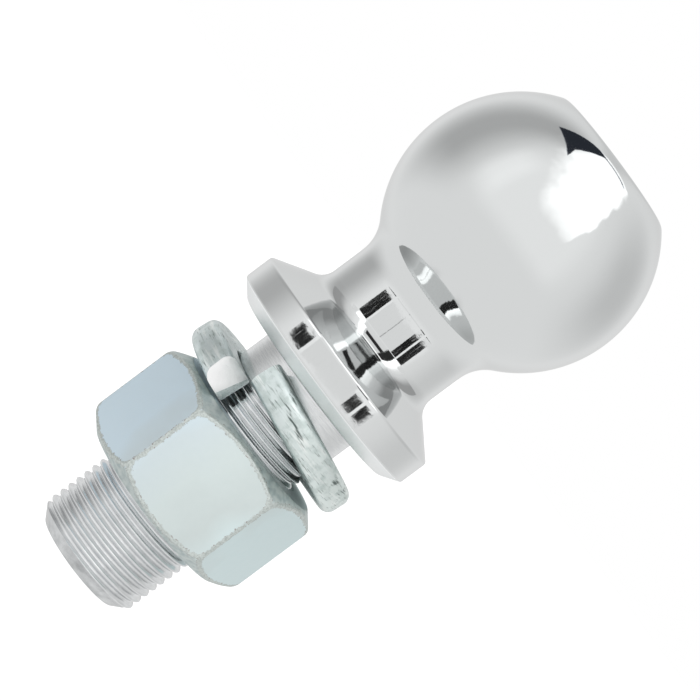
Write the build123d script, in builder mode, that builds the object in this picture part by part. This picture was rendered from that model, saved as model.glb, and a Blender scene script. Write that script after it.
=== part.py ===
from build123d import *

import os
from math import cos, radians, sqrt, tan

# Threaded tow ball: a one-piece forged and turned ball with its shank, a split lock washer and a hex nut.
# Millimetres. The origin is the centre of the flange's seat face, +Z points up through the ball.

# Ball
ball_diameter = 50.8
ball_centre_height = 46.6
ball_flat_diameter = 28.6
ball_flat_edge_radius = 2.8

# Neck and flange
neck_diameter = 29.2
neck_to_ball_fillet = 7.8
neck_to_flange_fillet = 3.8
flange_diameter = 46.7
flange_rim_height = 5.55
flange_rim_edge_radius = 0.5
flange_cone_angle = 57.2  # of the sloping top, measured from the axis
seat_diameter = 39.9
seat_chamfer_height = 2.4

# Shank and thread, the thread as a plain cylinder at its crests
shank_diameter = 25.1
shank_length = 53.5
plain_length = 7.6
thread_relief = 0.1  # how far the crests lie inside the plain shank
thread_end_chamfer = 2.5

# Hex nut
nut_across_flats = 36.6
nut_height = 21.8
nut_clearance = 0.3
nut_bearing_diameter = 34.6
nut_chamfer_angle = 35.0  # of both chamfers, measured from the end faces
nut_corner_radius = 0.5
nut_countersink = 0.9
nut_turn = 6.0  # how far the front flat is turned from the front
nut_to_washer_gap = 0.25

# Split lock washer, as it springs when it is loose
washer_clearance = 0.65
washer_width = 7.4  # of its section, from the bore outwards
washer_thickness = 6.1
washer_end_gap = 0.5  # along the axis, from one cut end to the other
washer_outer_edge_radius = 2.0
washer_inner_edge_chamfer = 0.4
washer_split_angle = 5.0
washer_split_side = 23.5  # of the split, from the front towards -X
washer_to_flange_gap = 1.2
washer_shift = 0.3  # off the axis, towards -X
washer_lean_left = 4.7  # the -X side leans towards the ball
washer_lean_front = 3.3  # so does the front

os.makedirs("parts", exist_ok=True)

# Tow ball: one profile turned about the axis, its inside corners rounded in the sketch
ball_radius = ball_diameter / 2
neck_radius = neck_diameter / 2
flange_radius = flange_diameter / 2
shank_radius = shank_diameter / 2
thread_radius = shank_radius - thread_relief
flat_radius = ball_flat_diameter / 2
flat_height = ball_centre_height + sqrt(ball_radius**2 - flat_radius**2)
neck_top = ball_centre_height - sqrt(ball_radius**2 - neck_radius**2)
rim_top = seat_chamfer_height + flange_rim_height
cone_top = rim_top + (flange_radius - neck_radius) / tan(radians(flange_cone_angle))

with BuildPart() as tow_ball:
    with BuildSketch(Plane.XZ) as ball_profile:
        with BuildLine():
            Polyline(
                (0, flat_height),
                (0, -shank_length),
                (thread_radius - thread_end_chamfer, -shank_length),
                (thread_radius, thread_end_chamfer - shank_length),
                (thread_radius, -plain_length - thread_relief),
                (shank_radius, -plain_length),
                (shank_radius, 0),
                (seat_diameter / 2, 0),
                (flange_radius, seat_chamfer_height),
                (flange_radius, rim_top),
                (neck_radius, cone_top),
                (neck_radius, neck_top),
            )
            ThreePointArc(
                (neck_radius, neck_top),
                (ball_radius, ball_centre_height),
                (flat_radius, flat_height),
            )
            Line((flat_radius, flat_height), (0, flat_height))
        make_face()
        rounded_corners = (
            (flange_radius, rim_top, flange_rim_edge_radius),
            (neck_radius, cone_top, neck_to_flange_fillet),
            (neck_radius, neck_top, neck_to_ball_fillet),
            (flat_radius, flat_height, ball_flat_edge_radius),
        )
        for corner_radius_out, corner_height, rounding in rounded_corners:
            corner = ball_profile.vertices().sort_by_distance((corner_radius_out, corner_height))[0]
            fillet(corner, rounding)
    revolve(axis=Axis.Z)
tow_ball.part.label = "tow_ball"

# Lock washer: a section swept along one left-hand turn, cut through and sprung apart
washer_bore_radius = shank_radius + washer_clearance
washer_middle_radius = washer_bore_radius + washer_width / 2
washer_rise = washer_thickness + washer_end_gap
washer_turn = 360 - washer_split_angle
washer_coil_height = washer_rise * washer_turn / 360
washer_start_angle = -90 - washer_split_side - washer_split_angle / 2

with BuildPart() as upright_coil:
    with BuildLine() as coil:
        Helix(
            pitch=washer_rise,
            height=washer_coil_height,
            radius=washer_middle_radius,
            lefthand=True,
        )
    section_plane = Plane(coil.line @ 0, x_dir=(1, 0, 0), z_dir=coil.line % 0)
    with BuildSketch(section_plane) as washer_section:
        Rectangle(washer_width, washer_thickness)
        outer_corners = washer_section.vertices().group_by(Axis.X)[-1]
        fillet(outer_corners, washer_outer_edge_radius)
        inner_corners = washer_section.vertices().group_by(Axis.X)[0]
        chamfer(inner_corners, washer_inner_edge_chamfer)
    sweep(path=coil.line, is_frenet=True)

# The loose washer leans on the shank, and its highest point lies just under the flange
washer_lean = (
    Plane(origin=(-washer_shift, 0, 0))
    .rotated((0, 0, washer_start_angle))
    .rotated((-washer_lean_front, washer_lean_left, 0))
    .offset(-washer_coil_height / 2)
)
leaning_top = upright_coil.part.moved(washer_lean.location).bounding_box().max.Z
washer_seat = Plane(
    origin=washer_lean.origin - (0, 0, leaning_top + washer_to_flange_gap),
    x_dir=washer_lean.x_dir,
    z_dir=washer_lean.z_dir,
)

with BuildPart() as lock_washer:
    with Locations(washer_seat.location):
        add(upright_coil.part)
lock_washer.part.label = "lock_washer"
washer_lowest = lock_washer.part.bounding_box().min.Z

# Hex nut: a hexagonal prism inside a turned blank with both rims chamfered
nut_top = washer_lowest - nut_to_washer_gap
nut_bottom = nut_top - nut_height
nut_bore_radius = thread_radius + nut_clearance
nut_corner_reach = nut_across_flats / 2 / cos(radians(30))
nut_bearing_radius = nut_bearing_diameter / 2
nut_chamfer_height = (nut_corner_reach - nut_bearing_radius) * tan(radians(nut_chamfer_angle))
nut_plane = Plane.XY.offset(nut_bottom).rotated((0, 0, nut_turn))

with BuildPart() as hex_nut:
    with BuildSketch(nut_plane) as hexagon:
        RegularPolygon(nut_across_flats / 2, 6, major_radius=False)
        fillet(hexagon.vertices(), nut_corner_radius)
    extrude(amount=nut_height)
    with BuildSketch(Plane.XZ):
        with BuildLine():
            Polyline(
                (0, nut_bottom),
                (nut_bearing_radius, nut_bottom),
                (nut_corner_reach, nut_bottom + nut_chamfer_height),
                (nut_corner_reach, nut_top - nut_chamfer_height),
                (nut_bearing_radius, nut_top),
                (0, nut_top),
                close=True,
            )
        make_face()
    revolve(axis=Axis.Z, mode=Mode.INTERSECT)
    with BuildSketch(nut_plane):
        Circle(nut_bore_radius)
    extrude(amount=nut_height, mode=Mode.SUBTRACT)
    bore_rims = hex_nut.edges().filter_by(GeomType.CIRCLE).filter_by(
        lambda edge: abs(edge.radius - nut_bore_radius) < nut_clearance / 10
    )
    chamfer(bore_rims, nut_countersink)
hex_nut.part.label = "hex_nut"

export_step(tow_ball.part, "parts/tow_ball.step")
export_step(lock_washer.part, "parts/lock_washer.step")
export_step(hex_nut.part, "parts/hex_nut.step")
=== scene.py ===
import bmesh
import bpy
from math import acos, atan2, cos, degrees, hypot, pi, radians, sin, sqrt, tan
from mathutils import Matrix, Vector


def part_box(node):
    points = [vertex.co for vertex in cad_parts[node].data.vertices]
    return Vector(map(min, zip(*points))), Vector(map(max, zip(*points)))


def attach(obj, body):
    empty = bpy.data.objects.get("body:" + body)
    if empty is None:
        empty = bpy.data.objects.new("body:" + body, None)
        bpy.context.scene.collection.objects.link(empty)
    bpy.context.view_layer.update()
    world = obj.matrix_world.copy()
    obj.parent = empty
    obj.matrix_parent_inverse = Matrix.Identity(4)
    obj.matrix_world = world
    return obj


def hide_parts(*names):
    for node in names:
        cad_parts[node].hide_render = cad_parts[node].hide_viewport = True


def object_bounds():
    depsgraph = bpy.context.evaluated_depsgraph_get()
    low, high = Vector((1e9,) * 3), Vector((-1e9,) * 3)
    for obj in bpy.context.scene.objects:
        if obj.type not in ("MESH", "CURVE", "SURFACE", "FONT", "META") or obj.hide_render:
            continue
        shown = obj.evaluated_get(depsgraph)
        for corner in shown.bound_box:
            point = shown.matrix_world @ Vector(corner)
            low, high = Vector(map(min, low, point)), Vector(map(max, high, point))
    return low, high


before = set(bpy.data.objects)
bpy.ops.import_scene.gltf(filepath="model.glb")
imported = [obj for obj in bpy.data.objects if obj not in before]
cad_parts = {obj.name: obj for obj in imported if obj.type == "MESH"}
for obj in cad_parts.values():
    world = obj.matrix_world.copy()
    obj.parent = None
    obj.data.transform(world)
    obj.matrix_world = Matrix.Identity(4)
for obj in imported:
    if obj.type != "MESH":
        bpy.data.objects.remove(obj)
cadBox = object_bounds()
mm = 0.001
print("frame loaded")


# Working in edit mode

def deselectAll():
    if bpy.context.object and bpy.context.object.mode != "OBJECT":
        bpy.ops.object.mode_set(mode="OBJECT")
    bpy.ops.object.select_all(action="DESELECT")


def selectOnly(piece):
    deselectAll()
    piece.select_set(True)
    bpy.context.view_layer.objects.active = piece


def startOutline(name, radius, height):  # one point in the XZ plane, the pen that draws the outline
    deselectAll()
    bpy.ops.mesh.primitive_plane_add(size=mm)
    piece = bpy.context.object
    piece.name = piece.data.name = name
    bpy.ops.object.mode_set(mode="EDIT")
    bpy.ops.mesh.select_all(action="SELECT")
    bpy.ops.mesh.merge(type="CENTER")
    bpy.ops.transform.translate(value=(radius * mm, 0, height * mm))
    return piece


def penPlace(piece):
    mesh = bmesh.from_edit_mesh(piece.data)
    pen = [v.co for v in mesh.verts if v.select][0]
    return Vector((pen.x, pen.z)) / mm


def drawLine(piece, radius, height):
    move = (Vector((radius, height)) - penPlace(piece)) * mm
    if move.length > 1e-7:
        bpy.ops.mesh.extrude_vertices_move(TRANSFORM_OT_translate={"value": (move.x, 0, move.y)})


def drawArc(centreRadius, centreHeight, turn, steps):  # turn in radians, positive from +X to +Z
    bpy.ops.mesh.spin(
        steps=steps,
        angle=turn,
        center=(centreRadius * mm, 0, centreHeight * mm),
        axis=(0, 1, 0),
    )


def drawCorner(piece, corner, nextPoint, rounding, support=0.06, stepAngle=6):
    # a line up to the corner and an arc round it, with a short straight each side that keeps flats flat
    pen, corner, nextPoint = penPlace(piece), Vector(corner), Vector(nextPoint)
    ahead = (corner - pen).normalized()
    beyond = (nextPoint - corner).normalized()
    turn = -ahead.angle_signed(beyond)  # positive to the left of the way in
    reach = rounding * tan(abs(turn) / 2)
    side = Vector((-ahead.y, ahead.x)) * (1 if turn > 0 else -1)
    centre = corner - ahead * reach + side * rounding
    drawLine(piece, *(corner - ahead * (reach + support)))
    drawLine(piece, *(corner - ahead * reach))
    drawArc(centre.x, centre.y, turn, max(2, round(degrees(abs(turn)) / stepAngle)))
    drawLine(piece, *(corner + beyond * (reach + support)))


def turnOutline(steps):  # the outline spun once about the axis
    bpy.ops.mesh.select_all(action="SELECT")
    bpy.ops.mesh.spin(steps=steps, angle=2 * pi, center=(0, 0, 0), axis=(0, 0, 1))
    mergeAndTurnOut()


def mergeAndTurnOut():
    bpy.ops.mesh.select_all(action="SELECT")
    bpy.ops.mesh.remove_doubles(threshold=1e-6)
    bpy.ops.mesh.normals_make_consistent(inside=False)
    bpy.ops.object.mode_set(mode="OBJECT")


def applyAll(piece):
    selectOnly(piece)
    for modifier in list(piece.modifiers):
        bpy.ops.object.modifier_apply(modifier=modifier.name)


def cutWith(piece, tool, operation="DIFFERENCE"):
    cut = piece.modifiers.new("cut", "BOOLEAN")
    cut.operation = operation
    cut.solver = "EXACT"
    cut.object = tool
    applyAll(piece)
    bpy.data.objects.remove(tool)


def wind(piece, turns, rise, stepsPerTurn, startHeight):
    # the closed outline wound right-handed about the axis, rise mm a turn, its two ends filled
    bpy.ops.object.mode_set(mode="OBJECT")
    screw = piece.modifiers.new("winding", "SCREW")
    screw.angle = 2 * pi * turns
    screw.screw_offset = rise * turns * mm
    screw.steps = screw.render_steps = round(stepsPerTurn * abs(turns))
    screw.use_merge_vertices = False
    applyAll(piece)
    bpy.ops.object.mode_set(mode="EDIT")
    bpy.ops.mesh.select_all(action="SELECT")
    bpy.ops.transform.translate(value=(0, 0, startHeight * mm))
    bpy.ops.mesh.select_all(action="DESELECT")
    bpy.ops.mesh.select_non_manifold()
    bpy.ops.mesh.edge_face_add()
    mergeAndTurnOut()


def smoothByAngle(piece, angle):
    selectOnly(piece)
    bpy.ops.object.shade_smooth_by_angle(angle=radians(angle))


# Tow ball: one outline turned about the axis, then the thread cut into its shank

ball = {
    "diameter": 50.8,
    "centreHeight": 46.6,
    "flatDiameter": 28.6,
    "flatEdge": 2.8,
    "neckDiameter": 29.2,
    "neckToBall": 7.8,
    "neckToFlange": 3.8,
    "flangeDiameter": 46.7,
    "rimTop": 7.95,
    "rimEdge": 0.8,
    "rimFoot": 0.7,
    "coneAngle": 57.2,
    "seatDiameter": 39.9,
    "seatChamferHeight": 2.4,
    "seatEdge": 1.2,
    "seatFillet": 0.5,
    "shankDiameter": 25.1,
    "shankLength": 53.5,
    "plainLength": 7.6,
    "endChamfer": 2.5,
    "steps": 144,
}

thread = {
    "pitch": 1.814,
    "majorDiameter": 24.9,
    "depth": 0.86,
    "crestWidth": 0.32,
    "easing": 0.12,  # of the corners at crest and root
    "runOut": 1.6,  # height over which the groove fades into the plain shank
    "playRadial": 0.14,
    "playAxial": 0.07,
    "stepsPerTurn": 72,
}


def makeTowBall():
    radius = ball["diameter"] / 2
    neck = ball["neckDiameter"] / 2
    flange = ball["flangeDiameter"] / 2
    seat = ball["seatDiameter"] / 2
    shank = ball["shankDiameter"] / 2
    crest = thread["majorDiameter"] / 2
    bottom = -ball["shankLength"]
    middle = ball["centreHeight"]
    flat = middle + sqrt(radius**2 - (ball["flatDiameter"] / 2) ** 2)
    coneTop = ball["rimTop"] + (flange - neck) / tan(radians(ball["coneAngle"]))

    piece = startOutline("towBall", 0, bottom)
    drawCorner(piece, (crest - ball["endChamfer"], bottom), (crest, bottom + ball["endChamfer"]), 0.3)
    drawCorner(piece, (crest, bottom + ball["endChamfer"]), (crest, 0), 0.2)
    drawLine(piece, crest, -ball["plainLength"] - (shank - crest))
    drawLine(piece, shank, -ball["plainLength"])
    drawCorner(piece, (shank, 0), (seat, 0), ball["seatFillet"])
    drawCorner(piece, (seat, 0), (flange, ball["seatChamferHeight"]), ball["seatEdge"])
    drawCorner(piece, (flange, ball["seatChamferHeight"]), (flange, ball["rimTop"]), ball["rimFoot"])
    drawCorner(piece, (flange, ball["rimTop"]), (neck, coneTop), ball["rimEdge"])
    drawCorner(piece, (neck, coneTop), (neck, middle), ball["neckToFlange"], stepAngle=3)

    # the neck sweeps into the ball round a centre outside both, and the ball into its flat round one inside
    hollow = ball["neckToBall"]
    hollowCentre = Vector((neck + hollow, middle - sqrt((radius + hollow) ** 2 - (neck + hollow) ** 2)))
    hollowTurn = acos((neck + hollow) / (radius + hollow))
    edge = ball["flatEdge"]
    edgeCentre = Vector((sqrt((radius - edge) ** 2 - (flat - edge - middle) ** 2), flat - edge))
    edgeAngle = atan2(edgeCentre.y - middle, edgeCentre.x)
    drawLine(piece, neck, hollowCentre.y - 0.08)
    drawLine(piece, neck, hollowCentre.y)
    drawArc(*hollowCentre, -hollowTurn, 20)
    drawArc(0, middle, hollowTurn + edgeAngle, 60)
    drawArc(*edgeCentre, pi / 2 - edgeAngle, 16)
    drawLine(piece, edgeCentre.x - 0.1, flat)
    drawLine(piece, 0, flat)
    turnOutline(ball["steps"])
    return piece


def makeGrooveCutter(name, crest, crestGap, inside, outside, startHeight, turns):
    # the groove beside a ridge of the thread: crestGap wide at the crest's radius, its corners eased
    slope = tan(radians(30))
    ease = thread["easing"]
    root = crest - thread["depth"]
    rootGap = crestGap - 2 * thread["depth"] * slope
    half = (
        (inside, rootGap / 2 - ease),
        (root, rootGap / 2 - ease),
        (root + ease, rootGap / 2 + ease * slope),
        (crest - ease, crestGap / 2 - ease * slope),
        (crest, crestGap / 2 + ease),
        (outside, crestGap / 2 + ease),
    )
    piece = startOutline(name, half[0][0], -half[0][1])
    for radius, height in half:
        drawLine(piece, radius, height)
    for radius, height in reversed(half):
        drawLine(piece, radius, -height)
    bpy.ops.mesh.select_all(action="SELECT")
    bpy.ops.mesh.remove_doubles(threshold=1e-6)
    wind(piece, turns, thread["pitch"], thread["stepsPerTurn"], startHeight)
    return piece


def cutShankThread(piece):
    crest = thread["majorDiameter"] / 2
    root = crest - thread["depth"]
    outside = ball["shankDiameter"] / 2 + 0.05
    start = -ball["shankLength"] - thread["pitch"]
    length = ball["shankLength"] - ball["plainLength"] + thread["pitch"]
    crestGap = thread["pitch"] - thread["crestWidth"]
    tool = makeGrooveCutter(
        "grooveCutter", crest, crestGap, root, outside, start, length / thread["pitch"]
    )
    fadeFrom = -ball["plainLength"] - thread["runOut"]
    for vertex in tool.data.vertices:  # the last turn climbs out of the shank
        climb = max(0.0, vertex.co.z / mm - fadeFrom) / thread["runOut"]
        reach = hypot(vertex.co.x, vertex.co.y)
        grown = 1 + climb * thread["depth"] * mm / reach
        vertex.co.x *= grown
        vertex.co.y *= grown
    cutWith(piece, tool)


towBall = makeTowBall()
cutShankThread(towBall)
smoothByAngle(towBall, 34)
for face in towBall.data.polygons:  # below the rim the steel is turned, not polished
    onShank = hypot(*face.center.xy) < (ball["shankDiameter"] / 2 + ball["seatFillet"]) * mm
    if onShank and face.center.z < ball["seatFillet"] * mm:
        face.material_index = 1
    elif face.normal.z < -0.3 and face.center.z < ball["seatChamferHeight"] * mm:
        face.material_index = 2
print("tow ball", len(towBall.data.polygons), "faces")


# Hex nut: a hexagon inside a turned blank, with the shank's thread in its bore

nut = {
    "acrossFlats": 36.6,
    "bearingDiameter": 34.6,
    "chamferAngle": 35.0,
    "cornerRounding": 1.5,
    "edgeRounding": 0.75,
    "shoulderRounding": 2.0,  # of the corners into the chamfers
    "countersink": 0.95,
    "turn": 6.0,  # degrees, of the front flat from the front
    "steps": 144,
}


def makeNut():
    low, high = (corner.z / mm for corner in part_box("hex_nut"))
    corner = nut["acrossFlats"] / 2 / cos(radians(30))
    bearing = nut["bearingDiameter"] / 2

    deselectAll()
    bpy.ops.mesh.primitive_cylinder_add(
        vertices=6,
        radius=corner * mm,
        depth=(high - low) * mm,
        location=(0, 0, (low + high) / 2 * mm),
        rotation=(0, 0, radians(30 + nut["turn"])),  # a corner starts at the back
    )
    piece = bpy.context.object
    piece.name = piece.data.name = "nut"
    bpy.ops.object.transform_apply(location=True, rotation=True, scale=True)
    bpy.ops.object.mode_set(mode="EDIT")
    bpy.ops.mesh.select_all(action="DESELECT")
    mesh = bmesh.from_edit_mesh(piece.data)
    for edge in mesh.edges:  # the six upright corners
        edge.select = abs(edge.verts[0].co.z - edge.verts[1].co.z) > mm
    bmesh.update_edit_mesh(piece.data)
    bpy.ops.mesh.bevel(offset=nut["cornerRounding"] * tan(radians(30)) * mm, segments=4, affect="EDGES")

    blank = startOutline("nutBlank", 0, low)
    side = corner - nut["cornerRounding"] * (1 / cos(radians(30)) - 1)
    chamfer = (side - bearing) * tan(radians(nut["chamferAngle"]))
    drawCorner(blank, (bearing, low), (side, low + chamfer), 0.5)
    drawCorner(blank, (side, low + chamfer), (side, high - chamfer), nut["shoulderRounding"])
    drawCorner(blank, (side, high - chamfer), (bearing, high), nut["shoulderRounding"])
    drawCorner(blank, (bearing, high), (0, high), 0.5)
    drawLine(blank, 0, high)
    turnOutline(nut["steps"])
    cutWith(piece, blank, "INTERSECT")

    soften = piece.modifiers.new("soften", "BEVEL")
    soften.width = nut["edgeRounding"] * mm
    soften.segments = 3
    soften.limit_method = "ANGLE"
    soften.angle_limit = radians(14)
    soften.use_clamp_overlap = True
    applyAll(piece)

    # bore and countersinks, then the grooves that the shank's ridges run in
    crest = thread["majorDiameter"] / 2
    minor = crest - thread["depth"] + 0.3
    mouth = crest + nut["countersink"] * 0.6
    drill = startOutline("nutDrill", 0, low - 1)
    drawLine(drill, mouth + 1, low - 1)
    drawLine(drill, minor, low + (mouth - minor))
    drawLine(drill, minor, high - (mouth - minor))
    drawLine(drill, mouth + 1, high + 1)
    drawLine(drill, 0, high + 1)
    turnOutline(nut["steps"])
    cutWith(piece, drill)
    slope = tan(radians(30))
    tip = crest + thread["playRadial"]
    inside = minor - 0.25
    tipWidth = thread["crestWidth"] + 2 * thread["playAxial"]
    insideWidth = tipWidth + 2 * (tip - inside) * slope
    ridge = -ball["shankLength"] - thread["pitch"] / 2
    start = ridge + thread["pitch"] * int((low - ridge) / thread["pitch"] - 1)
    turns = (high - start) / thread["pitch"] + 1
    tap = startOutline("nutTap", inside, -insideWidth / 2)
    for radius, height in ((inside, insideWidth / 2), (tip, tipWidth / 2), (tip, -tipWidth / 2)):
        drawLine(tap, radius, height)
    drawLine(tap, inside, -insideWidth / 2)
    bpy.ops.mesh.select_all(action="SELECT")
    bpy.ops.mesh.remove_doubles(threshold=1e-6)
    wind(tap, turns, thread["pitch"], thread["stepsPerTurn"], start)
    cutWith(piece, tap)
    return piece


hexNut = makeNut()
smoothByAngle(hexNut, 28)
print("nut", len(hexNut.data.polygons), "faces")


# Lock washer: a rounded bar wound left-handed once round the shank, cut through and sprung apart

washer = {
    "clearance": 0.65,
    "width": 7.4,
    "thickness": 6.1,
    "endGap": 0.5,
    "outerEdge": 2.0,
    "innerEdge": 0.4,
    "splitAngle": 5.0,
    "lowEndTrim": 6.5,  # degrees that the lower end stands back further
    "shearFrom": 2.2,  # of the bright flat on the lower end, from the bore outwards
    "shearBack": 2.6,  # how far it reaches back along the outside
    "shearTilt": 7.0,  # it cuts deeper on the flange's side
    "splitSide": 23.5,
    "shift": 0.3,
    "leanLeft": 4.7,
    "leanFront": 3.3,
    "steps": 120,
    "wornSide": 5.0,  # middle of the worn line along the outside, in degrees from the front towards +X
    "wornReach": 13.0,  # degrees each way
    "wornHeight": -4.9,
    "wornFall": 4.4,  # mm a radian, towards +X
    "wornRadius": 19.0,  # from here outwards
}


def makeWasher():
    bore = ball["shankDiameter"] / 2 + washer["clearance"]
    middle = bore + washer["width"] / 2
    rise = washer["thickness"] + washer["endGap"]
    turns = (360 - washer["splitAngle"] - washer["lowEndTrim"]) / 360

    deselectAll()
    bpy.ops.mesh.primitive_plane_add(
        size=mm, location=(middle * mm, 0, 0), rotation=(radians(90), 0, 0)
    )
    piece = bpy.context.object
    piece.name = piece.data.name = "washer"
    piece.scale = (washer["width"], washer["thickness"], 1)
    bpy.ops.object.transform_apply(location=True, rotation=True, scale=True)
    bpy.ops.object.mode_set(mode="EDIT")
    bpy.ops.mesh.delete(type="ONLY_FACE")
    for outside, rounding, segments in ((True, washer["outerEdge"], 8), (False, washer["innerEdge"], 3)):
        mesh = bmesh.from_edit_mesh(piece.data)
        for vertex in mesh.verts:
            atCorner = abs(abs(vertex.co.z / mm) - washer["thickness"] / 2) < 1e-3
            vertex.select = atCorner and (vertex.co.x / mm > middle) == outside
        mesh.select_flush_mode()
        bmesh.update_edit_mesh(piece.data)
        bpy.ops.mesh.bevel(offset=rounding * mm, segments=segments, affect="VERTICES")
    wind(piece, -turns, -rise, washer["steps"], 0)

    # the bright flat that the shears left across the lower end's outer corner
    first = Vector((bore + washer["shearFrom"], 0, 0))
    last = Vector((bore + washer["width"], -washer["shearBack"], 0))
    along = (last - first).normalized()
    turned = Matrix.Rotation(atan2(along.y, along.x), 3, "Z") @ Matrix.Rotation(
        radians(washer["shearTilt"]), 3, "X"
    )
    out = turned @ Vector((0, 1, 0))
    deselectAll()
    bpy.ops.mesh.primitive_cube_add(size=mm, location=((first + last) / 2 + out * 2) * mm)
    shears = bpy.context.object
    shears.scale = (9, 4, washer["thickness"] + 0.7)
    shears.rotation_euler = turned.to_euler()
    bpy.ops.object.transform_apply(location=True, rotation=True, scale=True)
    cutWith(piece, shears)
    for face in piece.data.polygons:
        face.material_index = face.normal.dot(out) > 0.9999
    return piece


def placeWasher(piece):
    rise = (washer["thickness"] + washer["endGap"]) * (360 - washer["splitAngle"]) / 360
    start = -90 - washer["splitSide"] - washer["splitAngle"] / 2 - washer["lowEndTrim"]
    trimRise = (washer["thickness"] + washer["endGap"]) * washer["lowEndTrim"] / 360
    lean = Matrix.Rotation(radians(-washer["leanFront"]), 4, "X") @ Matrix.Rotation(
        radians(washer["leanLeft"]), 4, "Y"
    )
    place = (
        Matrix.Translation((-washer["shift"] * mm, 0, 0))
        @ lean
        @ Matrix.Rotation(radians(start), 4, "Z")
        @ Matrix.Translation((0, 0, (trimRise - rise / 2) * mm))
    )
    piece.data.transform(place)
    top = max(vertex.co.z for vertex in piece.data.vertices)
    piece.data.transform(Matrix.Translation((0, 0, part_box("lock_washer")[1].z - top)))


lockWasher = makeWasher()
placeWasher(lockWasher)
smoothByAngle(lockWasher, 35)
print("washer", len(lockWasher.data.polygons), "faces")


# Materials. A noise is scaled by one over the size of its grains in mm.

def linear(hexCode):  # sRGB hex to linear
    levels = [int(hexCode[i : i + 2], 16) / 255 for i in (1, 3, 5)]
    return tuple(c / 12.92 if c <= 0.04045 else ((c + 0.055) / 1.055) ** 2.4 for c in levels) + (1.0,)


smooth = {"interpolation_type": "SMOOTHSTEP"}  # from 0 at the low end to 1 at the high end


def addNode(tree, kind, *inputs, stops=(), **named):  # gives its first output
    # inputs in their order or by name, settings by name, hex codes for colours; a kind in capitals is
    # an operation of the Math node
    node = tree.nodes.new("ShaderNode" + ("Math" if kind.isupper() else kind))
    if kind.isupper():
        node.operation = kind
    for name in filter(str.islower, named):
        setattr(node, name, named[name])
    given = list(zip((socket for socket in node.inputs if socket.enabled), inputs))
    given += [(node.inputs[name], value) for name, value in named.items() if not name.islower()]
    for socket, value in given:
        if isinstance(value, bpy.types.NodeSocket):
            tree.links.new(value, socket)
        else:
            socket.default_value = linear(value) if isinstance(value, str) else value
    for number, (place, colour) in enumerate(stops):
        bands = node.color_ramp.elements
        stop = bands[number] if number < 2 else bands.new(1.0)
        stop.position = place
        stop.color = linear(colour) if isinstance(colour, str) else colour
    return next(socket for socket in node.outputs if socket.enabled)


def around(tree, value, centre, full, none):  # 1 within full of the centre, 0 beyond none
    away = addNode(tree, "ABSOLUTE", addNode(tree, "SUBTRACT", value, centre))
    return addNode(tree, "SUBTRACT", 1.0, addNode(tree, "MapRange", away, full, none, **smooth))


def placeInMm(tree):
    place = addNode(tree, "TexCoord").node.outputs["Object"]
    return addNode(tree, "VectorMath", place, Scale=1 / mm, operation="SCALE")


def newMaterial(name):
    material = bpy.data.materials.new(name)
    material.use_nodes = True
    tree = material.node_tree
    shader = tree.nodes["Principled BSDF"]
    shader.inputs["Metallic"].default_value = 1.0
    return material, tree, shader, placeInMm(tree)


def roundTheAxis(tree, place, stretch):  # way round, radius and height in mm, the first one stretched
    x, y, z = addNode(tree, "SeparateXYZ", place).node.outputs
    squares = addNode(tree, "ADD", addNode(tree, "MULTIPLY", x, x), addNode(tree, "MULTIPLY", y, y))
    radius = addNode(tree, "SQRT", squares)
    angle = addNode(tree, "ARCTAN2", y, x)
    way = addNode(tree, "MULTIPLY", angle, ball["shankDiameter"] / 2 / stretch)
    return addNode(tree, "CombineXYZ", way, radius, z), radius, angle, z


def chromePlate():  # bright chrome over polished steel: a mirror with the polisher's faint waves in it
    material, tree, shader, place = newMaterial("chromePlate")
    shader.inputs["Base Color"].default_value = linear("#d8dada")
    haze = addNode(tree, "TexNoise", place, Scale=1 / 7.0, Detail=4.0)
    tree.links.new(addNode(tree, "MapRange", haze, 0.3, 0.7, 0.025, 0.065), shader.inputs["Roughness"])
    small = addNode(tree, "TexNoise", place, Scale=1 / 1.1)
    waves = addNode(tree, "MULTIPLY_ADD", small, 0.15, addNode(tree, "TexNoise", place, Scale=1 / 6.0))
    tree.links.new(addNode(tree, "Bump", Height=waves, Distance=0.02 * mm), shader.inputs["Normal"])
    return material


def turnedSteel():  # plated over the marks of lathe and thread rolls: greyer and streaked round the axis
    material, tree, shader, place = newMaterial("turnedSteel")
    wound, _, _, z = roundTheAxis(tree, place, 14.0)
    lines = addNode(tree, "TexNoise", wound, Scale=1 / 0.2, Detail=3.0)
    clouds = addNode(tree, "TexNoise", place, Scale=1 / 2.4, Detail=3.0)
    mixed = addNode(tree, "MULTIPLY_ADD", lines, 0.5, addNode(tree, "MULTIPLY", clouds, 0.5))
    rolled = addNode(
        tree, "ValToRGB", mixed, stops=((0.34, "#d0d2d3"), (0.5, "#dadcdd"), (0.66, "#e3e4e5"))
    )
    plainFrom = -ball["plainLength"]
    plain = addNode(tree, "MapRange", z, plainFrom - thread["runOut"], plainFrom, **smooth)
    turned = addNode(tree, "ValToRGB", lines, stops=((0.3, "#d3d5d6"), (0.7, "#e0e2e2")))
    # darker grey on the end chamfer
    darkerEnd = addNode(tree, "ValToRGB", clouds, stops=((0.35, "#b4b6b7"), (0.65, "#d2d4d5")))
    endFrom = ball["endChamfer"] - ball["shankLength"]
    end = addNode(tree, "MapRange", z, endFrom, endFrom - 0.3, **smooth)
    sides = addNode(tree, "Mix", plain, rolled, turned, data_type="RGBA")
    colour = addNode(tree, "Mix", end, sides, darkerEnd, data_type="RGBA")
    tree.links.new(colour, shader.inputs["Base Color"])
    tree.links.new(addNode(tree, "MapRange", clouds, 0.3, 0.7, 0.15, 0.22), shader.inputs["Roughness"])
    tree.links.new(addNode(tree, "Bump", Height=lines, Distance=0.004 * mm), shader.inputs["Normal"])
    return material


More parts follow.
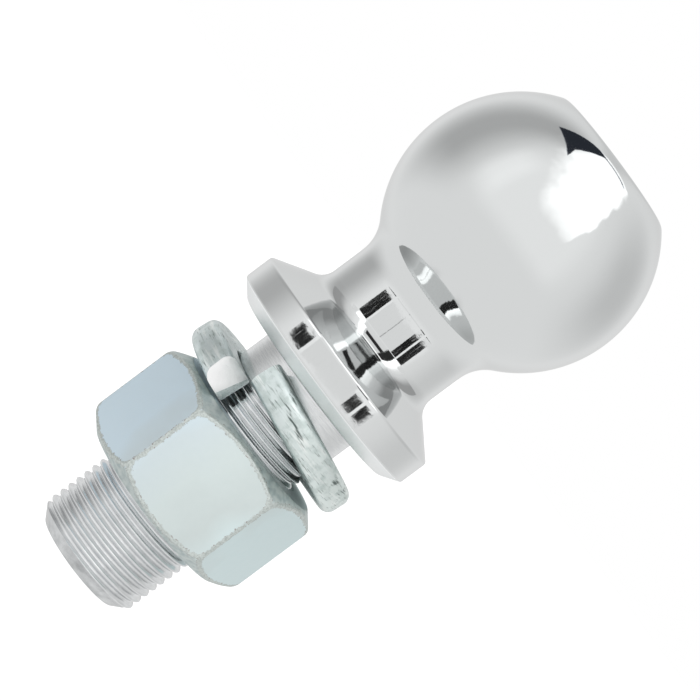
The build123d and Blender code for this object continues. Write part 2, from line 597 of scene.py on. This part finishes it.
def satinPlate():  # the turned underside of the flange: chrome over tool marks, so it blurs what it mirrors
    material, tree, shader, place = newMaterial("satinPlate")
    shader.inputs["Base Color"].default_value = linear("#f6f8f8")
    wound = roundTheAxis(tree, place, 14.0)[0]
    marks = addNode(tree, "TexNoise", wound, Scale=1 / 0.4, Detail=2.0)
    tree.links.new(addNode(tree, "MapRange", marks, 0.3, 0.7, 0.34, 0.46), shader.inputs["Roughness"])
    return material


def zincShader(name, *tintAndPaintedSide):  # clear zinc plate: satin, its tint varying at random and shifted with x as painted light, from the low stops at -X to the high ones at +X (on the nut pale blue to green)
    material, tree, shader, place = newMaterial(name)
    x = addNode(tree, "SeparateXYZ", place).node.outputs["X"]
    # painted light: the tint shifts with x, so the side towards -X, which lies in the room's left shade,
    # gets a painted paler and bluer colour on the nut; the noise adds a random change of tint
    paintedSideAndTint = addNode(tree, "MULTIPLY_ADD", x, 0.012, 0.375)
    paintedSideAndTint = addNode(tree, "MULTIPLY_ADD", addNode(tree, "TexNoise", place, Scale=1 / 18.0), 0.25, paintedSideAndTint)
    return material, tree, shader, place, addNode(tree, "ValToRGB", paintedSideAndTint, stops=tintAndPaintedSide)


def zincNut():  # the edges between its faces are rubbed to a paler grit by the tumbling
    material, tree, shader, place, tintAndPaintedSide = zincShader(
        "zincNut",
        # the first stop, pale blue, colours the side towards -X: painted light; the others follow the
        # random tint
        (0.36, "#dcecf5"),
        (0.42, "#d8e3e6"),
        (0.52, "#d8e2e1"),
        (0.6, "#d1dad9"),
        (0.68, "#d9e7e8"),
    )
    _, radius, angle, z = roundTheAxis(tree, place, 1.0)
    low, high = (corner.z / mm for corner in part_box("hex_nut"))
    flat = nut["acrossFlats"] / 2

    # how deep a point lies under its face, the next face and the chamfer:
    # edges are where two of them are near
    turned = addNode(tree, "SUBTRACT", angle, radians(30 + nut["turn"]))
    fromFace = addNode(tree, "WRAP", turned, radians(30), radians(-30))
    fromNext = addNode(tree, "SUBTRACT", radians(60), addNode(tree, "ABSOLUTE", fromFace))
    underFace, underNext = (
        addNode(tree, "SUBTRACT", flat, addNode(tree, "MULTIPLY", radius, addNode(tree, "COSINE", way)))
        for way in (fromFace, fromNext)
    )
    fromMiddle = addNode(tree, "ABSOLUTE", addNode(tree, "SUBTRACT", z, (low + high) / 2))
    fromEnd = addNode(tree, "SUBTRACT", (high - low) / 2, fromMiddle)
    slant = radians(nut["chamferAngle"])
    underChamfer = addNode(
        tree,
        "SUBTRACT",
        addNode(tree, "MULTIPLY_ADD", fromEnd, cos(slant), nut["bearingDiameter"] / 2 * sin(slant)),
        addNode(tree, "MULTIPLY", radius, sin(slant)),
    )
    nearer = addNode(tree, "SMOOTH_MIN", underNext, underChamfer, 2.2)
    toEdge = addNode(tree, "MAXIMUM", underFace, nearer)

    inward = addNode(tree, "ADD", toEdge, 0.45)
    teeth = addNode(tree, "TexNoise", place, Scale=1 / 0.9, Detail=4.0)
    ragged = addNode(tree, "MULTIPLY_ADD", teeth, -0.9, inward)
    rubbed = addNode(tree, "SUBTRACT", 1.0, addNode(tree, "MapRange", ragged, 0.34, 0.52, **smooth))
    chamfer = addNode(tree, "SUBTRACT", 1.0, addNode(tree, "MapRange", underChamfer, 0.03, 0.2, **smooth))
    mottle = addNode(tree, "TexNoise", place, Scale=1 / 1.3, Detail=4.0)
    dull = addNode(tree, "ValToRGB", mottle, stops=((0.35, "#b3c0c0"), (0.6, "#d0d8d6")))
    colour = addNode(tree, "Mix", chamfer, tintAndPaintedSide, dull, data_type="RGBA")
    grit = addNode(tree, "TexNoise", place, Scale=1 / 0.4, Detail=3.0)
    pale = addNode(tree, "ValToRGB", grit, stops=((0.4, "#bcc3c0"), (0.6, "#d3dad7")))
    colour = addNode(tree, "Mix", rubbed, colour, pale, data_type="RGBA")
    specks = addNode(tree, "MapRange", grit, 0.54, 0.66, **smooth)
    border = addNode(tree, "MULTIPLY", around(tree, ragged, 0.45, 0.03, 0.14), specks)
    colour = addNode(tree, "Mix", border, colour, "#978f8a", data_type="RGBA")
    tree.links.new(colour, shader.inputs["Base Color"])
    tree.links.new(addNode(tree, "MapRange", mottle, 0.3, 0.7, 0.46, 0.54), shader.inputs["Roughness"])
    rough = addNode(tree, "MULTIPLY", grit, rubbed)
    tree.links.new(addNode(tree, "Bump", Height=rough, Distance=0.03 * mm), shader.inputs["Normal"])
    return material


def zincWasher():  # streaked along the bar that it was wound from, with a few worn pits
    # here too the tint shifts with x as painted light, a little darker towards -X
    material, tree, shader, place, tintAndPaintedSide = zincShader("zincWasher", (0.3, "#d3dddd"), (0.7, "#dde6e3"))
    wound, radius, angle, z = roundTheAxis(tree, place, 6.0)
    streaks = addNode(tree, "TexNoise", wound, Scale=1 / 0.8, Detail=5.0)
    elsewhere = addNode(tree, "VectorMath", wound, (9, 9, 9), operation="ADD")
    scratches = addNode(tree, "TexNoise", elsewhere, Scale=1 / 0.3, Detail=3.0)
    blotches = addNode(tree, "TexNoise", place, Scale=1 / 1.8, Detail=5.0)
    dull = addNode(tree, "MULTIPLY", addNode(tree, "MapRange", blotches, 0.44, 0.64, **smooth), 0.7)
    colour = addNode(tree, "Mix", dull, tintAndPaintedSide, "#becac7", data_type="RGBA")
    pale = addNode(tree, "MapRange", streaks, 0.52, 0.7, **smooth)
    colour = addNode(tree, "Mix", pale, colour, "#edf2f0", data_type="RGBA")
    dark = addNode(tree, "MULTIPLY", addNode(tree, "MapRange", scratches, 0.58, 0.68, **smooth), 0.6)
    colour = addNode(tree, "Mix", dark, colour, "#87938f", data_type="RGBA")
    clouds = addNode(tree, "TexNoise", place, Scale=1 / 4.0)
    patches = addNode(tree, "MapRange", clouds, 0.54, 0.64, **smooth)
    where = addNode(tree, "MULTIPLY", patches, addNode(tree, "MapRange", streaks, 0.48, 0.42, **smooth))
    pits = addNode(tree, "MULTIPLY", where, addNode(tree, "MapRange", scratches, 0.45, 0.6, **smooth))
    colour = addNode(tree, "Mix", pits, colour, "#6d7875", data_type="RGBA")

    # one long worn line along the outside, in front
    aside = addNode(tree, "ADD", angle, radians(90 - washer["wornSide"]))
    above = addNode(tree, "SUBTRACT", z, washer["wornHeight"])
    above = addNode(tree, "MULTIPLY_ADD", aside, washer["wornFall"], above)
    wavy = addNode(tree, "TexNoise", place, Scale=1 / 3.0)
    above = addNode(tree, "MULTIPLY_ADD", wavy, 1.2, addNode(tree, "SUBTRACT", above, 0.6))
    reach = radians(washer["wornReach"])
    inReach = around(tree, aside, 0, reach, reach + 0.1)
    worn = addNode(tree, "MULTIPLY", around(tree, above, 0, 0.1, 0.55), inReach)
    wornFrom = washer["wornRadius"]
    outside = addNode(tree, "MapRange", radius, wornFrom, wornFrom + 0.5, **smooth)
    worn = addNode(tree, "MULTIPLY", worn, outside)
    worn = addNode(tree, "MULTIPLY", worn, addNode(tree, "MapRange", scratches, 0.4, 0.6, **smooth))
    colour = addNode(tree, "Mix", worn, colour, "#5f6a67", data_type="RGBA")
    tree.links.new(colour, shader.inputs["Base Color"])
    tree.links.new(addNode(tree, "MapRange", blotches, 0.3, 0.7, 0.3, 0.42), shader.inputs["Roughness"])
    rough = addNode(tree, "ADD", streaks, scratches)
    tree.links.new(addNode(tree, "Bump", Height=rough, Distance=0.05 * mm), shader.inputs["Normal"])
    return material


def shearedSteel():  # the flat that the shears left: bright, torn where it starts
    material, tree, shader, place = newMaterial("shearedSteel")
    tear = addNode(tree, "TexNoise", place, Scale=1 / 1.2, Detail=4.0)
    colour = addNode(tree, "ValToRGB", tear, stops=((0.2, "#e6e9e9"), (0.32, "#ffffff")))
    tree.links.new(colour, shader.inputs["Base Color"])
    shader.inputs["Roughness"].default_value = 0.3
    tree.links.new(addNode(tree, "Bump", Height=tear, Distance=0.04 * mm), shader.inputs["Normal"])
    return material


def finishPiece(piece, body, node, slotName, *materials):
    for material in materials:
        piece.data.materials.append(material)
    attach(piece, body)
    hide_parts(node)


finishPiece(towBall, "ball", "tow_ball", "chrome_plate", chromePlate(), turnedSteel(), satinPlate())
finishPiece(lockWasher, "washer", "lock_washer", "zinc_plate", zincWasher(), shearedSteel())
finishPiece(hexNut, "nut", "hex_nut", "zinc_plate", zincNut())
print("materials on")


# Stage: pale floor and a soft white room, which the chrome mirrors

def makeFloor():
    drop = 30 * mm  # room for the nut to come down past the shank's end
    deselectAll()
    bpy.ops.mesh.primitive_plane_add(size=8, location=(0, 0, cadBox[0].z - drop))
    floor = bpy.context.object
    floor.name = "floor"
    floor.visible_glossy = False  # the room's lower half stands for it in the chrome
    material = bpy.data.materials.new("paleFloor")
    material.use_nodes = True
    tree = material.node_tree
    tree.nodes.remove(tree.nodes["Principled BSDF"])
    seen = addNode(tree, "LightPath").node.outputs["Is Camera Ray"]
    paint = addNode(tree, "BsdfDiffuse", "#eaeaea")
    glow = addNode(tree, "Emission", Strength=addNode(tree, "MULTIPLY", seen, 0.35))
    both = addNode(tree, "AddShader", paint, glow)
    tree.links.new(both, tree.nodes["Material Output"].inputs["Surface"])
    floor.data.materials.append(material)


# Levels of white round the part. Angles in degrees: side from the camera's side towards +X, and height
# above level.
room = {
    "level": 0.95,
    "frontLift": 0.11,
    "leftShade": 0.45,
    "leftSide": -105,
    "rightShade": 0.27,
    "rightSide": 108,
    "underShade": 0.5,
    "backShade": 0.2,
    "glint": 0.15,
    "glintSide": -53,
    "glintHeight": 20,
    "softbox": 1.55,
    "flag": 0.06,
}

# The dark flag's edges, in the plane one unit above the part: across towards +X, forward to the camera
flagEdges = {
    "steep": (-5.0, -1.73),  # the near edge on the left: how far forward a unit across, and at the middle
    "shallow": (-0.98, -0.28),
    "nearest": -0.207,
    "farLeft": (-0.18, -0.268),  # across and forward
    "farRight": (-0.03, -0.226),
    "slant": -0.487,  # of the left end
    "left": -0.52,
    "right": 0.23,
}


def makeRoom():
    world = bpy.data.worlds.new("softRoom")
    bpy.context.scene.world = world
    world.use_nodes = True
    tree = world.node_tree
    background = tree.nodes["Background"]
    way = addNode(tree, "TexCoord").node.outputs["Generated"]
    x, y, z = addNode(tree, "SeparateXYZ", way).node.outputs
    towards = addNode(tree, "MULTIPLY", y, -1.0)
    side = addNode(tree, "DEGREES", addNode(tree, "ARCTAN2", x, towards))
    height = addNode(tree, "DEGREES", addNode(tree, "ARCSINE", z))

    raised = addNode(tree, "MapRange", height, -20, 0, **smooth)
    front = addNode(tree, "MULTIPLY", around(tree, side, 0, 35, 62), raised)
    glint = addNode(
        tree,
        "MULTIPLY",
        around(tree, side, room["glintSide"], 3, 20),
        around(tree, height, room["glintHeight"], 8, 34),
    )
    level = addNode(tree, "MULTIPLY_ADD", front, room["frontLift"], room["level"])
    level = addNode(tree, "ADD", level, addNode(tree, "MULTIPLY", glint, room["glint"]))
    raised = addNode(tree, "MapRange", height, -32, 2, **smooth)
    left = addNode(tree, "MULTIPLY", around(tree, side, room["leftSide"], 4, 50), raised)
    right = addNode(
        tree,
        "MULTIPLY",
        around(tree, side, room["rightSide"], 4, 52),
        around(tree, height, 22, 5, 55),
    )
    below = addNode(tree, "SUBTRACT", 1.0, addNode(tree, "MapRange", height, -84, -71, **smooth))
    aside = addNode(tree, "MapRange", addNode(tree, "ABSOLUTE", x), 0.1, 0.26, **smooth)
    under = addNode(tree, "MULTIPLY", below, aside)
    back = addNode(tree, "MapRange", addNode(tree, "ABSOLUTE", side), 140, 172, **smooth)
    for lobe, shade in (
        (left, room["leftShade"]),
        (right, room["rightShade"]),
        (under, room["underShade"]),
        (back, room["backShade"]),
    ):
        dim = addNode(tree, "SUBTRACT", 1.0, addNode(tree, "MULTIPLY", lobe, shade))
        level = addNode(tree, "MULTIPLY", level, dim)

    # a softbox overhead that reaches down to the front, in the plane one unit above the part
    above = addNode(tree, "MAXIMUM", z, 0.02)
    across = addNode(tree, "DIVIDE", x, above)
    forward = addNode(tree, "DIVIDE", towards, above)
    crumple = addNode(tree, "TexNoise", way, Scale=6.0, Detail=1.0)
    ragged = addNode(tree, "MULTIPLY_ADD", crumple, 0.5, -0.25)
    leftEdge = addNode(tree, "MULTIPLY_ADD", ragged, 0.7, across)
    rightEdge = addNode(tree, "SUBTRACT", addNode(tree, "MULTIPLY_ADD", forward, 0.38, 0.4), across)
    rightEdge = addNode(tree, "ADD", rightEdge, addNode(tree, "MULTIPLY", ragged, 0.4))
    leftEdge = addNode(tree, "MapRange", leftEdge, -0.6, -0.14, **smooth)
    rightEdge = addNode(tree, "MapRange", rightEdge, -0.03, 0.03, **smooth)
    box = addNode(tree, "MULTIPLY", leftEdge, rightEdge)
    box = addNode(tree, "MULTIPLY", box, addNode(tree, "MapRange", forward, -0.27, -0.25, **smooth))
    ending = addNode(tree, "MapRange", addNode(tree, "ADD", forward, ragged), 1.1, 2.6, **smooth)
    box = addNode(tree, "MULTIPLY", box, addNode(tree, "SUBTRACT", 1.0, ending))
    strength = addNode(tree, "MapRange", box, 0.0, 1.0, level, room["softbox"])

    # a dark flag on the softbox's far corner, wide on the left and drawn out to a line on the right
    steep = addNode(tree, "MULTIPLY_ADD", across, *flagEdges["steep"])
    shallow = addNode(tree, "MULTIPLY_ADD", across, *flagEdges["shallow"])
    near = addNode(tree, "MAXIMUM", addNode(tree, "MAXIMUM", steep, shallow), flagEdges["nearest"])
    start, farStart = flagEdges["farLeft"]
    stop, farStop = flagEdges["farRight"]
    far = addNode(tree, "MapRange", across, start, stop, farStart, farStop)
    flag = addNode(tree, "MapRange", addNode(tree, "SUBTRACT", near, forward), -0.004, 0.008, **smooth)
    inside = addNode(tree, "MapRange", addNode(tree, "SUBTRACT", forward, far), -0.006, 0.006, **smooth)
    flag = addNode(tree, "MULTIPLY", flag, inside)
    slanted = addNode(tree, "MULTIPLY_ADD", forward, flagEdges["slant"], across)
    left, right = flagEdges["left"], flagEdges["right"]
    starting = addNode(tree, "MapRange", slanted, left - 0.01, left + 0.01, **smooth)
    flag = addNode(tree, "MULTIPLY", flag, starting)
    ending = addNode(tree, "MapRange", across, right - 0.03, right + 0.03, **smooth)
    flag = addNode(tree, "MULTIPLY", flag, addNode(tree, "SUBTRACT", 1.0, ending))
    flag = addNode(tree, "MULTIPLY", flag, addNode(tree, "MapRange", z, 0.3, 0.4, **smooth))
    strength = addNode(tree, "MapRange", flag, 0.0, 1.0, strength, room["flag"])

    # what the camera itself sees behind the part is plain white
    seen = addNode(tree, "LightPath").node.outputs["Is Camera Ray"]
    shown = addNode(tree, "MapRange", seen, 0.0, 1.0, strength, 1.0)
    tree.links.new(shown, background.inputs["Strength"])
    colour = addNode(tree, "Mix", flag, "#ffffff", "#b4c0d8", data_type="RGBA")
    tree.links.new(colour, background.inputs["Color"])


# Three curved screens stand in front. Each shows only to rays that meet it nearly square, as through a
# grid, so the rim and neck mirror the low one, and the flange's slope and the ball's underside, which
# mirror each other, the raised ones. Levels run from -X to +X, each with the side in degrees where it
# starts.
lowScreen = {
    "distance": 110.0,
    "top": 18.2,
    "bottom": -2.3,
    "tilt": 1.0,
    "whiteFrom": 1.7,  # a white strip over the rim's black bands
    "whiteTo": 8.5,
    "whiteBeyond": 25.0,  # degrees each way from its middle, where it begins
    "whiteMiddle": -3.0,
    "seamSide": -0.5,  # a faint seam that the neck mirrors
    "seamFrom": 9.0,
    "levels": (
        (-64, 1.05),
        (-48, 0.02),
        (-31, 1.1),
        (-28, 0.93),
        (24, 0.02),
        (33, 1.15),
        (36, 0.02),
        (48, 1.1),
    ),
    "end": 62.0,
    "window": 6.3,
    "windowAbove": 4.0,  # where only the neck mirrors it
}

ballScreen = {  # the ball's underside sees it in the slope
    "centre": (19.0, 10.0),
    "radius": 41.0,
    "lowest": 12.0,
    "highest": 33.0,
    "levels": (
        (-56, 0.93),
        (-45, 0.93),
        (-41, 1.9),
        (-35, 2.1),
        (-34, 1.2),
        (-33, 2.1),
        (-28, 1.9),
        (-25, 0.95),
        (17.5, 0.93),
        (18.5, 0.03),
        (31.5, 0.03),
        (33, 2.3),
        (40, 1.9),
        (47, 0.95),
        (54, 0.93),
    ),
    "end": 56.0,
    "window": 12.0,
    "windowAtSides": 12.0,
}

slopeScreen = {  # the slope sees it in the neck and in the ball's underside
    "centre": (15.5, 25.0),
    "radius": 45.0,
    "lowest": 8.0,
    "highest": 60.0,
    "levels": (
        (-104, 0.4),
        (-84, 0.42),
        (-56, 0.9),
        (-36, 1.1),
        (-31, 2.2),
        (-23, 2.2),
        (-20, 0.9),
        (17, 0.9),
        (18.5, 0.03),
        (32, 0.03),
        (33.5, 1.8),
        (44, 1.5),
        (53, 1.0),
        (60, 0.9),
        (84, 0.42),
    ),
    "end": 104.0,
    "window": 16.0,
    "windowAtSides": 18.0,
    "barsHalf": 18.0,  # degrees each way that its dark bars reach
    "barFrom": 46.2,  # a thin one that the neck mirrors
    "barTo": 51.2,
    "barSlant": 2.3,  # rays from the neck come in more aslant than this
    "bandHeight": 41.0,  # a wide one that the hollow above the neck mirrors, lower towards +X
    "bandFall": 0.4,  # mm a degree
    "bandHalf": 6.5,
    "footHeight": 47.0,  # one that the foot of the neck mirrors
    "footHalf": 6.5,
    "footSlant": 3.65,
}


def hangScreen(piece, settings):  # the outline turned about the axis and trimmed to its sides
    first, last = settings["levels"][0][0], settings["end"]
    turnOutline(240)
    bpy.ops.object.mode_set(mode="EDIT")
    mesh = bmesh.from_edit_mesh(piece.data)
    for face in mesh.faces:
        centre = face.calc_center_median()
        face.select = not first < degrees(atan2(centre.x, -centre.y)) < last
    bmesh.update_edit_mesh(piece.data)
    bpy.ops.mesh.delete(type="FACE")
    bpy.ops.object.mode_set(mode="OBJECT")
    bpy.ops.object.shade_smooth()
    piece.visible_camera = piece.visible_diffuse = piece.visible_shadow = False


def screenLevels(tree, side, settings, interpolation):  # brightness by side, as a colour and its strength
    first, span = settings["levels"][0][0], settings["end"] - settings["levels"][0][0]
    share = addNode(tree, "DIVIDE", addNode(tree, "SUBTRACT", side, first), span)
    brightest = max(level for start, level in settings["levels"])
    stops = [
        ((start - first) / span, (level / brightest,) * 3 + (1.0,)) for start, level in settings["levels"]
    ]
    ramp = addNode(tree, "ValToRGB", share, stops=stops)
    ramp.node.color_ramp.interpolation = interpolation
    return ramp, brightest


def slantOf(tree):  # how far off square a ray comes in, in degrees
    facing = addNode(tree, "LayerWeight", 0.5).node.outputs["Facing"]
    return addNode(tree, "DEGREES", addNode(tree, "ARCCOSINE", addNode(tree, "SUBTRACT", 1.0, facing)))


def glowSquareOn(piece, material, colour, strength, window):  # clear to rays more than window aslant
    tree = material.node_tree
    glow = addNode(tree, "Emission", colour, strength)
    past = addNode(tree, "SUBTRACT", slantOf(tree), window)
    hidden = addNode(tree, "MapRange", past, -0.6, 0.0, **smooth)
    clear = addNode(tree, "BsdfTransparent")
    shown = addNode(tree, "MixShader", hidden, glow, clear)
    tree.links.new(shown, tree.nodes["Material Output"].inputs["Surface"])
    piece.data.materials.append(material)


def screenMaterial(name):  # with the place in mm and the side in degrees
    material = bpy.data.materials.new(name)
    material.use_nodes = True
    tree = material.node_tree
    tree.nodes.remove(tree.nodes["Principled BSDF"])
    place = placeInMm(tree)
    x, y, z = addNode(tree, "SeparateXYZ", place).node.outputs
    side = addNode(tree, "DEGREES", addNode(tree, "ARCTAN2", x, addNode(tree, "MULTIPLY", y, -1.0)))
    return material, tree, place, side, z


def makeLowScreen():
    lean = (lowScreen["top"] - lowScreen["bottom"]) / 2 * tan(radians(lowScreen["tilt"]))
    piece = startOutline("lowScreen", lowScreen["distance"] - lean, lowScreen["bottom"])
    drawLine(piece, lowScreen["distance"] + lean, lowScreen["top"])
    hangScreen(piece, lowScreen)
    material, tree, place, side, z = screenMaterial("bandedPaper")
    bands, strength = screenLevels(tree, side, lowScreen, "CONSTANT")
    flecks = addNode(tree, "TexNoise", place, Scale=1 / 1.8, Detail=3.0)
    flecks = addNode(tree, "MULTIPLY", addNode(tree, "MapRange", flecks, 0.62, 0.66, **smooth), 0.5)
    colour = addNode(tree, "Mix", flecks, bands, "#e0e0e0", data_type="RGBA")
    low, high = lowScreen["whiteFrom"], lowScreen["whiteTo"]
    beyond = lowScreen["whiteBeyond"]
    aboveLow = addNode(tree, "MapRange", z, low - 0.1, low, **smooth)
    aboveHigh = addNode(tree, "MapRange", z, high, high + 1, **smooth)
    between = around(tree, side, lowScreen["whiteMiddle"], beyond - 1, beyond + 1)
    strip = addNode(tree, "MULTIPLY", aboveLow, addNode(tree, "SUBTRACT", 1.0, aboveHigh))
    strip = addNode(tree, "MULTIPLY", strip, addNode(tree, "SUBTRACT", 1.0, between))
    colour = addNode(tree, "Mix", strip, colour, "#ffffff", data_type="RGBA")
    seam = around(tree, side, lowScreen["seamSide"], 0.4, 0.9)
    raised = addNode(tree, "MapRange", z, lowScreen["seamFrom"], lowScreen["seamFrom"] + 1, **smooth)
    seam = addNode(tree, "MULTIPLY", seam, raised)
    broken = addNode(tree, "TexNoise", place, Scale=1 / 1.0, Detail=3.0)
    seam = addNode(tree, "MULTIPLY", seam, addNode(tree, "MapRange", broken, 0.42, 0.55, **smooth))
    colour = addNode(tree, "Mix", seam, colour, "#909090", data_type="RGBA")
    narrowing = lowScreen["windowAbove"] - lowScreen["window"]
    raised = addNode(tree, "MapRange", z, 6, 9, **smooth)
    window = addNode(tree, "MULTIPLY_ADD", raised, narrowing, lowScreen["window"])
    glowSquareOn(piece, material, colour, strength, window)


def darkBars(tree, side, ragged, z):  # the slant of a ray tells which surface it comes from
    slant = slantOf(tree)
    least = slopeScreen["barSlant"]
    fromNeck = addNode(tree, "MapRange", slant, least - 0.2, least + 0.2, **smooth)
    centre = (slopeScreen["barTo"] + slopeScreen["barFrom"]) / 2
    half = (slopeScreen["barTo"] - slopeScreen["barFrom"]) / 2
    thin = addNode(tree, "MULTIPLY", around(tree, z, centre, half - 0.6, half + 0.6), fromNeck)

    falling = addNode(tree, "MULTIPLY_ADD", side, slopeScreen["bandFall"], z)
    half = slopeScreen["bandHalf"]
    wide = around(tree, falling, slopeScreen["bandHeight"], half - 0.5, half + 0.5)
    wide = addNode(tree, "MULTIPLY", wide, addNode(tree, "SUBTRACT", 1.0, fromNeck))

    half = slopeScreen["footHalf"]
    least = slopeScreen["footSlant"]
    fromFoot = addNode(tree, "MapRange", slant, least - 0.15, least + 0.15, **smooth)
    deep = around(tree, z, slopeScreen["footHeight"], half - 0.5, half + 0.5)
    deep = addNode(tree, "MULTIPLY", deep, fromFoot)

    bars = addNode(tree, "MAXIMUM", addNode(tree, "MAXIMUM", thin, wide), deep)
    half = slopeScreen["barsHalf"]
    return addNode(tree, "MULTIPLY", around(tree, ragged, 0, half - 0.5, half + 0.5), bars)


def makeRaisedScreen(name, settings):
    radius, height = settings["centre"]
    lowest, highest = radians(settings["lowest"]), radians(settings["highest"])
    reach = settings["radius"]
    piece = startOutline(name, radius + reach * cos(lowest), height + reach * sin(lowest))
    drawArc(radius, height, highest - lowest, 24)
    hangScreen(piece, settings)
    material, tree, place, side, z = screenMaterial(name + "Paper")
    wobble = addNode(tree, "SUBTRACT", addNode(tree, "TexNoise", place, Scale=1 / 3.0, Detail=4.0), 0.5)
    ragged = addNode(tree, "MULTIPLY_ADD", wobble, 7.0, side)
    colour, strength = screenLevels(tree, ragged, settings, "EASE")
    if settings is slopeScreen:
        bars = darkBars(tree, side, ragged, z)
        colour = addNode(tree, "Mix", bars, colour, "#202020", data_type="RGBA")
    atSides = addNode(tree, "MapRange", addNode(tree, "ABSOLUTE", side), 45, 80, **smooth)
    widening = settings["windowAtSides"] - settings["window"]
    window = addNode(tree, "MULTIPLY_ADD", atSides, widening, settings["window"])
    glowSquareOn(piece, material, colour, strength, window)


def makeCamera():
    view = {
        "lens": 141.9,
        "sensor": 36.0,
        "distance": 500.0,
        "down": 0.0512,  # radians that the camera looks down
        "roll": 36.7,
        "aimHeight": 9.27,
        "aimSide": -1.3645,
    }
    ahead = Vector((0, cos(view["down"]), -sin(view["down"])))
    over = Vector((0, sin(view["down"]), cos(view["down"])))
    side = Vector((1, 0, 0))
    roll = radians(view["roll"])
    right = cos(roll) * over + sin(roll) * side
    up = sin(roll) * over - cos(roll) * side
    camera = bpy.data.objects.new("camera", bpy.data.cameras.new("camera"))
    bpy.context.scene.collection.objects.link(camera)
    camera.data.lens = view["lens"]
    camera.data.sensor_width = view["sensor"]
    turned = Matrix((right, up, -ahead)).transposed().to_4x4()
    aim = Vector((view["aimSide"], 0, view["aimHeight"])) * mm
    camera.matrix_world = Matrix.Translation(aim - ahead * view["distance"] * mm) @ turned
    camera.data.clip_start = 0.01
    bpy.context.scene.camera = camera


makeFloor()
makeRoom()
makeLowScreen()
makeRaisedScreen("ballScreen", ballScreen)
makeRaisedScreen("slopeScreen", slopeScreen)
makeCamera()
bpy.context.scene.view_settings.view_transform = "Standard"
print("stage set")
